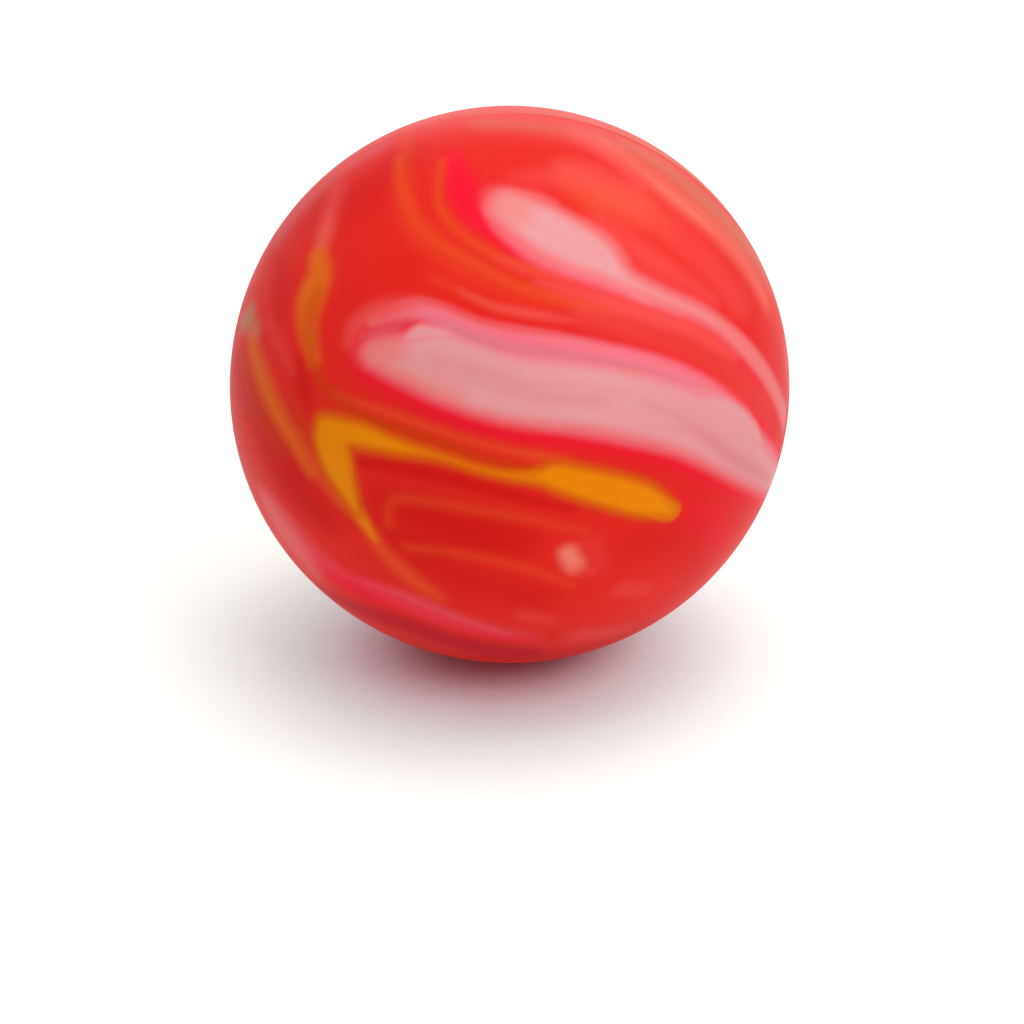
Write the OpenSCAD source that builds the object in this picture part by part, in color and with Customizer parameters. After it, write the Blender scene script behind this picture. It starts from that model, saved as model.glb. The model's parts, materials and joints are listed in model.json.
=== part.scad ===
// Soft hollow play ball of marbled rubber: two half shells cemented rim to rim,
// with strips of coloured rubber set flush in the outside of the wall.
// Millimetres, +Z up. The origin is on the table, under the middle of the ball.
// The front half faces -Y, and the seam stands upright in the XZ plane.

/* [Ball] */
// Outside diameter of the ball
ball_diameter = 60; // [40:1:90]
// Thickness of the rubber wall
wall = 4.5; // [3.5:0.1:8]
// Height that the soft ball loses where it settles on the table
rest_sag = 0.9; // [0.3:0.1:2]

/* [Seam] */
// Thickness of the cement film between the two rims
cement_film = 0.3; // [0.1:0.05:0.6]
// How far the cement bead stands out on the inside of the wall
bead_height = 0.6; // [0.3:0.1:1.2]
// Width of the cement bead along the inside of the wall
bead_width = 2.4; // [1.2:0.1:4]
// Clearance between the bead and the inside of the wall
bead_gap = 0.05; // [0.02:0.01:0.1]

/* [Marbling] */
// Depth of the broad ribbons in the wall
ribbon_depth = 2; // [1:0.1:2.8]
// Depth of the fine veins in the wall
vein_depth = 1.2; // [0.6:0.1:2]
// Width of the marbling strips against the drawn width
strip_width = 1; // [0.6:0.05:1.1]

/* [Hidden] */
// Smoothness of the round surfaces
$fn = 128;
// Steps between two drawn points of a strip
steps = 4;
ball_radius = ball_diameter / 2;
cavity_radius = ball_radius - wall;
centre_height = ball_radius - rest_sag;
rim_offset = cement_film / 2;
// Room that the cutting solids take beyond the outside of the ball
spare = 2;

// Every strip below is a line of points [right, up, half width], in degrees of arc as seen
// on one half's face, from the middle of that face. So the marbling grows with the ball.

// Front half
main_pale_line = [[-26.5, 24.8, 2], [-21, 24.5, 3.8], [-13, 24, 6.2], [0, 20.2, 6.2], [19, 17, 6.3],
    [38, 9.5, 6.4], [57, -5.5, 5.3], [76, -24, 2.8]];
rose_line = [[-28, 31.5, 1.1], [-18, 34.2, 1.9], [-6, 30, 2.3], [9.5, 27.3, 2.3], [28.5, 22.4, 2.3],
    [42, 16, 1.9], [53, 7.6, 1]];
upper_pale_line = [[-0.5, 56, 3.7], [7, 51.2, 5.2], [14.5, 47, 4.9], [19, 44.4, 4.1], [22.5, 41.2, 2.4],
    [26, 38.9, 1.6], [33, 35.6, 1.2], [46, 29.2, 1], [60, 16.8, 1], [74, 0, 0.9]];
hook_upper_arm = [[-37, 8.9, 3.1], [-29, 9, 2.8], [-22, 8, 1.9], [-13, 6.8, 0.9], [-4, 4.4, 0.8],
    [4, 3.1, 1.1], [8.5, 3.1, 2.8], [18, -0.3, 3.6], [26, -4, 3.6], [32, -7.8, 1.7]];
hook_lower_arm = [[-36, 6.5, 4.5], [-34.5, 1.6, 3.9], [-32.3, -3, 2.6], [-30.6, -7, 1.3]];
ochre_line = [[-45.3, 44, 2.6], [-43.5, 40, 3.6], [-44.7, 34.5, 3.9], [-44.4, 29, 2.7], [-41.2, 22.3, 1.4]];
left_amber_line = [[-66, 24, 1.8], [-60, 17.5, 3], [-53, 10.5, 2.8], [-46, 4, 1.8], [-41.5, -1.5, 0.9]];
lower_pink_line = [[-57, -17, 4], [-49, -22.3, 5.2], [-40, -25.2, 2.6], [-33, -27.2, 1.3], [-24, -29, 2.7],
    [-10, -34, 2.8], [4, -38.5, 1.6]];
salmon_line = [[26, 77, 2.4], [33, 69.8, 3.2], [43.5, 60.5, 3.6], [54, 51.5, 3.8], [63, 42, 3.6],
    [68.5, 32, 2.4]];
tan_line = [[-73.5, 25.5, 2.5], [-69, 27.5, 3.4]];
spot_line = [[11.2, -13.6, 1.9], [12.5, -16.6, 2]];
orange_vein_lines = [
    [[-29.2, 71.6, 1.7], [-25.5, 61, 1.9], [-19, 50.6, 1.6], [-7.6, 43.5, 1.3], [5, 37.6, 1.2],
        [23, 33.5, 0.9]],
    [[-16.8, 68.8, 1], [-16, 57.3, 1], [-10.5, 50, 1], [-1, 44.3, 0.9], [12, 40, 0.6]]
];
rust_vein_lines = [
    [[-34.5, 14.2, 0.7], [-30.5, 13.3, 0.8], [-22.5, 11.5, 0.9], [-13.8, 9.5, 0.8], [-5.3, 6.8, 0.7],
        [2, 5.4, 0.5]]
];
red_vein_lines = [
    [[-23.5, -9, 1], [-22, -3, 1.1], [-11.5, -2.8, 1.1], [2.9, -5.2, 0.9], [14.3, -8.8, 0.7]],
    [[-20, -13.4, 1], [-7.6, -13.6, 1.1], [3, -16.6, 1], [12.4, -22, 0.7]],
    [[-16, 40.5, 0.6], [-10, 38, 0.6], [-3, 35, 0.6], [5, 33.2, 0.5]]
];

// Rear half
rear_pale_line = [[-66, -10, 2.6], [-44, 3, 5.6], [-22, 8, 6.8], [0, 1, 6], [22, -11, 5.4], [44, -12, 4],
    [68, 3, 1.8]];
rear_rose_line = [[-47, -6, 1.2], [-30, -0.5, 2], [-9, -5, 2.4], [10, -14, 2.3], [28, -19.5, 1.8],
    [46, -17.5, 1]];
rear_amber_arm = [[-24, 37, 1.4], [-6, 35.5, 3.4], [14, 27, 4.4], [32, 21, 3.2], [46, 22, 3]];
rear_amber_tail = [[45, 21.5, 3.2], [51, 31, 2.6], [46, 43, 1.4], [34, 50, 0.7]];
rear_salmon_line = [[-62, 38, 2.4], [-46, 51, 4], [-20, 61, 4.4], [8, 60, 3], [24, 56, 1.2]];
rear_ochre_line = [[-54, -34, 1.4], [-36, -40, 3.2], [-16, -39, 3.6], [2, -33, 2], [20, -36, 0.9]];
rear_vein_lines = [
    [[-58, 18, 1], [-40, 24, 1.2], [-20, 22, 1.2], [0, 15, 1], [14, 10, 0.7]],
    [[24, -34, 0.9], [42, -31, 1.2], [58, -20, 1]],
    [[-4, 46, 0.9], [14, 42, 1.1], [30, 34, 0.8]]
];

// Point on a half's face, given in degrees right and up from its middle, at radius r
function on_face(right, up, r) = let (
    away = norm([right, up]),
    turn = atan2(up, right)
) [r * sin(away) * cos(turn), -r * cos(away), r * sin(away) * sin(turn)];

// Smooth line through drawn points
function between(a, b, c, d, t) =
    b + (c - a) * t / 2 + (2 * a - 5 * b + 4 * c - d) * t * t / 2 + (3 * b - a - 3 * c + d) * t * t * t / 2;
function smooth_line(line) = let (last = len(line) - 1) concat(
    [for (i = [0 : last - 1], k = [0 : steps - 1])
        between(line[max(i - 1, 0)], line[i], line[i + 1], line[min(i + 2, last)], k / steps)],
    [line[last]]
);

// Round end of a strip at station p, where the strip runs on towards q
function heading(p, q) = let (d = [q[0] - p[0], q[1] - p[1]]) d / norm(d);
function round_end(p, q) = let (d = heading(p, q)) [for (turn = [80, 55, 30])
    [p[0] - d[0] * p[2] * sin(turn), p[1] - d[1] * p[2] * sin(turn), p[2] * cos(turn)]];
function backwards(list) = [for (i = [len(list) - 1 : -1 : 0]) list[i]];
function stations(line) = let (s = smooth_line(line), n = len(s) - 1) concat(
    round_end(s[0], s[1]), s, backwards(round_end(s[n], s[n - 1])));

// Cutting solid of one strip: straight down through the wall from outside the ball to its depth
module strip(line, depth) {
    s = stations(line);
    n = len(s) - 1;
    outer = ball_radius + spare;
    inner = ball_radius - depth;
    rings = [for (i = [0 : n]) let (
            d = heading(s[max(i - 1, 0)], s[min(i + 1, n)]),
            w = s[i][2] * strip_width,
            left = [s[i][0] - d[1] * w, s[i][1] + d[0] * w],
            right = [s[i][0] + d[1] * w, s[i][1] - d[0] * w]
        ) each [on_face(left[0], left[1], outer), on_face(right[0], right[1], outer),
            on_face(right[0], right[1], inner), on_face(left[0], left[1], inner)]];
    sides = [for (i = [0 : n - 1], k = [0 : 3]) let (
            a = 4 * i + k,
            b = 4 * i + (k + 1) % 4
        ) each [[a, a + 4, b + 4], [a, b + 4, b]]];
    ends = [[0, 1, 2], [0, 2, 3], [4 * n + 2, 4 * n + 1, 4 * n], [4 * n + 3, 4 * n + 2, 4 * n]];
    polyhedron(points = rings, faces = concat(sides, ends), convexity = 6);
}

module strips(lines, depth) {
    for (line = lines) strip(line, depth);
}

// Solid ball with the poles of its surface in the middle of the two faces
module ball(r) {
    rotate([90, 0, 0]) sphere(r = r);
}

// Moves the ball from its own centre to where it rests
module at_rest() {
    translate([0, 0, centre_height]) children();
}

// Turns what is drawn on the front face round to the rear face
module on_rear() {
    rotate([0, 0, 180]) children();
}

// Half shell with its rim at the seam and its share of the flat that it rests on
module half_shell() {
    intersection() {
        difference() {
            ball(ball_radius);
            ball(cavity_radius);
        }
        translate([-ball_diameter, -ball_diameter, -centre_height])
            cube([2 * ball_diameter, ball_diameter - rim_offset, 2 * ball_diameter]);
    }
}

// Strip of coloured rubber, flush with the outside of the ball
module inlay(lines, depth) {
    intersection() {
        ball(ball_radius);
        strips(lines, depth);
    }
}

module front_half_shell() {
    color([0.84, 0.11, 0.11]) at_rest() difference() {
        half_shell();
        strips([main_pale_line, rose_line, upper_pale_line, hook_upper_arm, hook_lower_arm, ochre_line,
            left_amber_line, lower_pink_line, salmon_line, tan_line, spot_line], ribbon_depth);
        strips(concat(orange_vein_lines, rust_vein_lines, red_vein_lines), vein_depth);
    }
}

module rear_half_shell() {
    color([0.84, 0.11, 0.11]) at_rest() on_rear() difference() {
        half_shell();
        strips([rear_pale_line, rear_rose_line, rear_amber_arm, rear_amber_tail, rear_salmon_line,
            rear_ochre_line], ribbon_depth);
        strips(rear_vein_lines, vein_depth);
    }
}

module seam_cement() {
    film_inner = cavity_radius - bead_height / 2;
    bead_outer = sqrt(cavity_radius ^ 2 - bead_width ^ 2 / 4) - bead_gap;
    bead_inner = cavity_radius - bead_height;
    color([0.75, 0.2, 0.16]) at_rest() intersection() {
        ball(ball_radius);
        translate([-ball_diameter, -ball_diameter, -centre_height]) cube(2 * ball_diameter);
        rotate([90, 0, 0]) rotate_extrude() union() {
            translate([film_inner, -rim_offset]) square([wall + spare, cement_film]);
            polygon([[bead_inner, -bead_width / 5], [bead_outer, -bead_width / 2],
                [bead_outer, bead_width / 2], [bead_inner, bead_width / 5]]);
        }
    }
}

module main_pale_ribbon() {
    color([0.93, 0.66, 0.67]) at_rest() inlay([main_pale_line], ribbon_depth);
}

module rose_fringe() {
    color([0.93, 0.42, 0.5]) at_rest() difference() {
        inlay([rose_line], ribbon_depth);
        strip(main_pale_line, ribbon_depth + spare);
    }
}

module upper_pale_ribbon() {
    color([0.95, 0.64, 0.64]) at_rest() inlay([upper_pale_line], ribbon_depth);
}

module amber_hook() {
    color([0.87, 0.5, 0.02]) at_rest() inlay([hook_upper_arm, hook_lower_arm], ribbon_depth);
}

module ochre_streak() {
    color([0.82, 0.4, 0.12]) at_rest() inlay([ochre_line], ribbon_depth);
}

module left_amber_streak() {
    color([0.8, 0.36, 0.13]) at_rest() difference() {
        inlay([left_amber_line], ribbon_depth);
        strip(tan_line, ribbon_depth + spare);
    }
}

module lower_pink_band() {
    color([0.88, 0.33, 0.34]) at_rest() inlay([lower_pink_line], ribbon_depth);
}

module salmon_band() {
    color([0.92, 0.48, 0.4]) at_rest() inlay([salmon_line], ribbon_depth);
}

module tan_patch() {
    color([0.77, 0.5, 0.4]) at_rest() inlay([tan_line], ribbon_depth);
}

module pale_spot() {
    color([0.92, 0.5, 0.43]) at_rest() inlay([spot_line], ribbon_depth);
}

module orange_veins() {
    color([0.9, 0.31, 0.18]) at_rest() inlay(orange_vein_lines, vein_depth);
}

module rust_veins() {
    color([0.78, 0.28, 0.1]) at_rest() difference() {
        inlay(rust_vein_lines, vein_depth);
        strips([hook_upper_arm, hook_lower_arm, ochre_line], ribbon_depth + spare);
    }
}

module red_veins() {
    color([0.85, 0.25, 0.18]) at_rest() inlay(red_vein_lines, vein_depth);
}

module rear_pale_ribbon() {
    color([0.93, 0.66, 0.67]) at_rest() on_rear() inlay([rear_pale_line], ribbon_depth);
}

module rear_rose_fringe() {
    color([0.93, 0.42, 0.5]) at_rest() on_rear() difference() {
        inlay([rear_rose_line], ribbon_depth);
        strip(rear_pale_line, ribbon_depth + spare);
    }
}

module rear_amber_ribbon() {
    color([0.87, 0.5, 0.02]) at_rest() on_rear() inlay([rear_amber_arm, rear_amber_tail], ribbon_depth);
}

module rear_salmon_band() {
    color([0.92, 0.48, 0.4]) at_rest() on_rear() inlay([rear_salmon_line], ribbon_depth);
}

module rear_ochre_streak() {
    color([0.82, 0.4, 0.12]) at_rest() on_rear() inlay([rear_ochre_line], ribbon_depth);
}

module rear_veins() {
    color([0.9, 0.31, 0.18]) at_rest() on_rear() inlay(rear_vein_lines, vein_depth);
}

front_half_shell();
rear_half_shell();
seam_cement();
main_pale_ribbon();
rose_fringe();
upper_pale_ribbon();
amber_hook();
ochre_streak();
left_amber_streak();
lower_pink_band();
salmon_band();
tan_patch();
pale_spot();
orange_veins();
rust_veins();
red_veins();
rear_pale_ribbon();
rear_rose_fringe();
rear_amber_ribbon();
rear_salmon_band();
rear_ochre_streak();
rear_veins();
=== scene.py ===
"""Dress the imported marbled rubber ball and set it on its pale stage.

Two half shells of scarlet rubber are cemented rim to rim. Strips of pale, rose, amber
and other rubber lie flush in their skin. Each solid of the frame gets a finer mesh here,
and the dyes run a little into each other, as they do when coloured rubber is pressed.
"""

from __future__ import annotations

import json
import logging
import math
from collections.abc import Callable, Iterator
from contextlib import contextmanager
from dataclasses import dataclass, field
from enum import Enum

import bmesh
import bpy
import numpy as np
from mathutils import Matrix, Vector
from mathutils.bvhtree import BVHTree


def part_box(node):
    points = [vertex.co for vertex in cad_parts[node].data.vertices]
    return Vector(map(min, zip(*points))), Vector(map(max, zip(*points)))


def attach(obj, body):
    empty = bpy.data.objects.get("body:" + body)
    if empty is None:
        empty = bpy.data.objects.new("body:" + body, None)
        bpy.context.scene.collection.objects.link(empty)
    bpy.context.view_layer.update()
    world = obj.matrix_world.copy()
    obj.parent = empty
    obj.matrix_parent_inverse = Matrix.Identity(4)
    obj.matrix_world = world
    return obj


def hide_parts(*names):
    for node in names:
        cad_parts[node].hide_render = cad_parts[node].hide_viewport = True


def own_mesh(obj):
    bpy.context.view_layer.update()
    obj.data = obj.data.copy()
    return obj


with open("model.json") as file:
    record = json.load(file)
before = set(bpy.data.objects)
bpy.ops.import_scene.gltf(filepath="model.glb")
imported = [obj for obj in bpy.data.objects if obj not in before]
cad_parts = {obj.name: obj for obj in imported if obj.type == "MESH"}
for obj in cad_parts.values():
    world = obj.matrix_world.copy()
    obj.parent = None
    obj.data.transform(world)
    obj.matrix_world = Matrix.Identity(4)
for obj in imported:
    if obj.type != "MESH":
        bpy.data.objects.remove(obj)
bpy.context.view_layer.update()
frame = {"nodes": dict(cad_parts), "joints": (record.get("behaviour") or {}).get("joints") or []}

log = logging.getLogger("marbled_ball")

SHELL_SLOT = "red_rubber"

MM = 0.001
MERGE_GAP = 0.0001 * MM
SMOOTH_ANGLE = math.radians(30)
TINY = 1e-6

Colour = tuple[float, float, float]
LinearColour = tuple[float, float, float, float]
Line = tuple[tuple[float, float, float], ...]
Piece = bpy.types.Object
Socket = bpy.types.NodeSocket
Terms = dict[str | int, object]


class Dye(Enum):
    """The dyes that run over the scarlet rubber, from the lowest layer to the highest. Deep red and
    wine are partly painted shade, and tan and mauve are in places partly painted sheen along the
    limb.
    """

    # Deep red: partly the rubber's colour, partly painted shade on the left side and low down.
    DEEP_AND_SHADE = "dye_deep"
    # Wine: partly the rubber's dark crimson, partly painted shade along the bottom near the floor.
    WINE_AND_SHADE = "dye_wine"
    CRIMSON = "dye_crimson"
    SALMON = "dye_salmon"
    ORANGE = "dye_orange"
    OCHRE = "dye_ochre"
    TAN = "dye_tan"
    ROSE = "dye_rose"
    CORAL = "dye_coral"
    PALE = "dye_pale"
    BLUSH = "dye_blush"
    MAUVE = "dye_mauve"
    AMBER = "dye_amber"
    RUST = "dye_rust"


SCARLET: Colour = (0.945, 0.16, 0.125)

DYE_COLOURS: dict[Dye, Colour] = {
    # Deep red and wine also serve as painted shade, darker on the left and towards the floor.
    Dye.DEEP_AND_SHADE: (0.87, 0.06, 0.04),
    # Wine is laid only low down, as painted shade partly.
    Dye.WINE_AND_SHADE: (0.82, 0.04, 0.14),
    Dye.CRIMSON: (1.0, 0.06, 0.2),
    Dye.SALMON: (1.0, 0.54, 0.45),
    Dye.ORANGE: (0.97, 0.34, 0.14),
    Dye.OCHRE: (0.94, 0.46, 0.11),
    Dye.TAN: (0.82, 0.50, 0.38),
    Dye.ROSE: (1.0, 0.50, 0.57),
    Dye.CORAL: (0.99, 0.33, 0.31),
    Dye.PALE: (0.955, 0.645, 0.66),
    Dye.BLUSH: (0.98, 0.48, 0.46),
    Dye.MAUVE: (0.88, 0.47, 0.51),
    Dye.RUST: (0.86, 0.25, 0.0),
    Dye.AMBER: (0.98, 0.57, 0.0),
}


class Side(Enum):
    """The two halves, as seen along the seam's axis."""

    FRONT = "front"
    REAR = "rear"

    @property
    def body(self) -> str:
        """Name of the CAD body that this half rides on."""
        return f"{self.value}_half"

    @property
    def toward(self) -> float:
        """Sign of Y at this half's pole."""
        return -1.0 if self is Side.FRONT else 1.0


class Keep(Enum):
    """What a cut leaves of a piece, by Blender's names."""

    INSIDE = "INTERSECT"
    OUTSIDE = "DIFFERENCE"


@dataclass(frozen=True)
class Bleed:
    """A dye that has run out of a strip into the rubber beside it.

    Attributes:
        dye: The dye that runs out.
        reach: How far it runs, in mm.
        strength: Its share of the colour at the strip's edge.
        toward: Direction on the face (right, up) that it mostly runs in, or None for all.
    """

    dye: Dye
    reach: float
    strength: float
    toward: tuple[float, float] | None = None


@dataclass(frozen=True)
class Strip:
    """One inlaid strip of the frame.

    Attributes:
        node: CAD node that the strip stands for.
        slot: The record's material slot.
        dye: Dye of the strip's own rubber.
        feather: Width of the dye's soft edge, in mm.
        strength: Share of the dye in the strip's colour.
        bleeds: Dyes that run out of it.
    """

    node: str
    slot: str
    dye: Dye
    feather: float
    strength: float = 1.0
    bleeds: tuple[Bleed, ...] = ()


@dataclass(frozen=True)
class Wisp:
    """A faint run of dye with no strip of its own.

    Attributes:
        dye: The dye that has run.
        line: Points of (right, up, half width) on the half's face, in degrees.
        feather: Width of the soft edge, in degrees.
        strength: Its greatest share of the colour.
    """

    dye: Dye
    line: Line
    feather: float
    strength: float


@dataclass(frozen=True)
class Ball:
    """Sizes of the whole ball.

    Attributes:
        radius: Outer radius.
        centre: Centre of the outer sphere.
        travel: How far the two halves are squeezed together.
        wall: Thickness of the rubber.
        film: Thickness of the cement between the rims.
        bead: Height of the cement bead inside the cavity.
        sink: How far the rubber is pressed flat where it rests.
    """

    radius: float
    centre: Vector
    travel: float
    wall: float = 4.5 * MM
    film: float = 0.3 * MM
    bead: float = 0.6 * MM
    sink: float = 0.5 * MM

    @classmethod
    def from_frame(cls) -> Ball:
        """Read the ball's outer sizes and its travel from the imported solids.

        Returns:
            The ball at rest.
        """
        low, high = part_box("front_half_shell")
        radius = (high.x - low.x) / 2
        squeeze = frame["joints"][0]["range_m"]
        return cls(radius, Vector((0, 0, high.z - radius)), max(squeeze))

    @property
    def squat(self) -> float:
        """Share of the lower half's height that is left once the ball has settled."""
        return (self.centre.z + self.sink) / self.radius

    def to_face(self, points: np.ndarray, side: Side) -> np.ndarray:
        """Unroll points onto a half's face.

        Args:
            points: Points of the ball, one to a row.
            side: The half whose pole is the middle of the face.

        Returns:
            Degrees right and up from the pole, one pair to a row.
        """
        ray = points - np.array(self.centre)
        ray /= np.linalg.norm(ray, axis=1)[:, None]
        right, up, ahead = -side.toward * ray[:, 0], ray[:, 2], side.toward * ray[:, 1]
        across = np.hypot(right, up)
        scale = np.degrees(np.arctan2(across, ahead)) / np.maximum(across, TINY)
        return np.column_stack((right * scale, up * scale))

    def to_skin(self, points: np.ndarray) -> np.ndarray:
        """Move points straight out or in to the ball's skin.

        Args:
            points: Points of the ball, one to a row.

        Returns:
            The points on the skin.
        """
        ray = points - np.array(self.centre)
        return np.array(self.centre) + ray * (
            self.radius / np.linalg.norm(ray, axis=1)[:, None]
        )


def linear(colour: Colour) -> LinearColour:
    """Turn a colour as it looks on a screen into the shader's linear one.

    Args:
        colour: Red, green and blue from 0 to 1.

    Returns:
        Linear red, green and blue, and full alpha.
    """
    r, g, b = (
        c / 12.92 if c <= 0.04045 else ((c + 0.055) / 1.055) ** 2.4 for c in colour
    )
    return (r, g, b, 1.0)


def tinted(colour: Colour, factors: Colour) -> LinearColour:
    """Vary a colour by a factor on each of its linear parts.

    Args:
        colour: Red, green and blue from 0 to 1, as they look on a screen.
        factors: Factors on linear red, green and blue.

    Returns:
        Linear red, green and blue, and full alpha.
    """
    r, g, b = (part * factor for part, factor in zip(linear(colour), factors))
    return (r, g, b, 1.0)


def smooth_step(low: float, high: float, value: np.ndarray) -> np.ndarray:
    """Ease from 0 at low to 1 at high.

    Args:
        low: Value that gives 0.
        high: Value that gives 1.
        value: Values to ease.

    Returns:
        The eased values.
    """
    t = np.clip((value - low) / (high - low), 0.0, 1.0)
    return t * t * (3.0 - 2.0 * t)


def smooth_line(line: Line, steps: int = 6) -> np.ndarray:
    """Draw a smooth curve through a line's points.

    Args:
        line: Points of (right, up, half width).
        steps: Pieces between two points.

    Returns:
        The curve's points, one to a row.
    """
    points = np.array([line[0], *line, line[-1]], float)
    t = np.linspace(0, 1, steps, endpoint=False)[:, None]
    runs = [
        b
        + t * (c - a) / 2
        + t**2 * (a - 2.5 * b + 2 * c - d / 2)
        + t**3 * (-a + 3 * b - 3 * c + d) / 2
        for a, b, c, d in zip(points, points[1:], points[2:], points[3:])
    ]
    return np.vstack((*runs, points[-1:]))


def deselect_all() -> None:
    """Leave no object selected."""
    bpy.ops.object.select_all(action="DESELECT")


def activate(piece: Piece) -> None:
    """Make a piece the only selected and the active object.

    Args:
        piece: Object to work on.
    """
    deselect_all()
    piece.select_set(True)
    bpy.context.view_layer.objects.active = piece


@contextmanager
def editing(piece: Piece) -> Iterator[None]:
    """Work on a piece in edit mode with all of it selected.

    Args:
        piece: Object to edit.
    """
    activate(piece)
    bpy.ops.object.mode_set(mode="EDIT")
    bpy.ops.mesh.select_mode(type="VERT")
    bpy.ops.mesh.select_all(action="SELECT")
    yield
    bpy.ops.object.mode_set(mode="OBJECT")


def select_points(piece: Piece, chosen: np.ndarray) -> None:
    """Select some of a piece's points in edit mode.

    Args:
        piece: Object in edit mode.
        chosen: True for each point to select.
    """
    mesh = bmesh.from_edit_mesh(piece.data)
    for point, picked in zip(mesh.verts, chosen):
        point.select_set(bool(picked))
    mesh.select_flush_mode()
    bmesh.update_edit_mesh(piece.data)


def select_faces(piece: Piece, chosen: Callable[[bmesh.types.BMFace], bool]) -> None:
    """Select some of a piece's faces in edit mode.

    Args:
        piece: Object in edit mode.
        chosen: Tells of a face whether it is selected.
    """
    mesh = bmesh.from_edit_mesh(piece.data)
    for face in mesh.faces:
        face.select_set(chosen(face))
    bmesh.update_edit_mesh(piece.data)


def points_of(piece: Piece) -> np.ndarray:
    """Read a piece's points.

    Args:
        piece: Object in object mode.

    Returns:
        The points, one to a row.
    """
    flat = np.empty(len(piece.data.vertices) * 3)
    piece.data.vertices.foreach_get("co", flat)
    return flat.reshape(-1, 3)


def add_ball(radius: float, centre: Vector, fineness: int) -> Piece:
    """Add a solid ball with its place in its mesh.

    Args:
        radius: Its radius.
        centre: Its centre.
        fineness: How often its faces are divided.

    Returns:
        The ball.
    """
    deselect_all()
    bpy.ops.mesh.primitive_ico_sphere_add(
        subdivisions=fineness, radius=radius, location=centre
    )
    bpy.ops.object.transform_apply(location=True, rotation=True, scale=True)
    return bpy.context.object


def copy_of(piece: Piece, name: str) -> Piece:
    """Copy a piece with a mesh of its own.

    Args:
        piece: Object to copy.
        name: Name of the copy.

    Returns:
        The copy, in the scene, with no parent.
    """
    mesh = piece.data.copy()
    mesh.materials.clear()
    twin = bpy.data.objects.new(name, mesh)
    bpy.context.scene.collection.objects.link(twin)
    return twin


def discard(piece: Piece) -> None:
    """Remove a piece and its mesh.

    Args:
        piece: Object that is no longer needed.
    """
    mesh = piece.data
    bpy.data.objects.remove(piece)
    bpy.data.meshes.remove(mesh)


def cut(piece: Piece, tool: Piece, keep: Keep) -> None:
    """Cut a piece with another by an applied Boolean modifier.

    Args:
        piece: Object that is cut.
        tool: Object that cuts.
        keep: The side of the tool's walls that is left.

    Raises:
        RuntimeError: If nothing is left of the piece.
    """
    whole = piece.data.copy()
    for solver in ("MANIFOLD", "EXACT"):
        activate(piece)
        trim = piece.modifiers.new("trim", "BOOLEAN")
        trim.operation = keep.value
        trim.solver = solver
        trim.object = tool
        bpy.ops.object.modifier_apply(modifier=trim.name)
        changed = len(piece.data.vertices) != len(whole.vertices)
        if changed and len(piece.data.polygons):
            bpy.data.meshes.remove(whole)
            return
        log.info("cut %s by %s again, without the %s way", piece.name, tool.name, solver)
        spoilt, piece.data = piece.data, whole.copy()
        bpy.data.meshes.remove(spoilt)
    raise RuntimeError(f"{piece.name} could not be cut with {tool.name}")


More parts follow.
